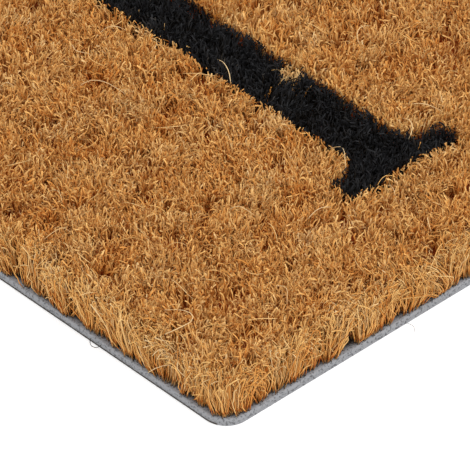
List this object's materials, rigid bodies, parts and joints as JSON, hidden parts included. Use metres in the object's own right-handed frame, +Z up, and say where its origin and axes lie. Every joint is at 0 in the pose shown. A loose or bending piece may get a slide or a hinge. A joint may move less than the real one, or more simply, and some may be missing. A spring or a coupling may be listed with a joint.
{
  "type": "door mat",
  "caption": "Rectangular coir door mat: upright cut coconut-fibre pile on a grey vinyl backing, with dyed black zones forming a plain portico of columns, lintel and roof.",
  "frame": {"origin": "centre of the underside, on the surface the mat lies on", "axes": "+X along the long side, +Y along the short side from the columns' feet towards the roof of the dyed motif, +Z up out of the pile"},
  "size_m": [0.6, 0.4, 0.017],
  "materials": {
    "vinyl": "matt grey vinyl with dark flecks along its cut edge",
    "coir": "golden-tan coconut fibre, cut pile",
    "dyed_coir": "coconut fibre pile dyed black"
  },
  "bodies": {
    "root": {"backing": "vinyl", "coir_pile": "coir", "dyed_column_1": "dyed_coir", "dyed_column_2": "dyed_coir", "dyed_column_3": "dyed_coir", "dyed_column_4": "dyed_coir", "dyed_lintel": "dyed_coir", "dyed_roof": "dyed_coir"}
  },
  "joints": []
}
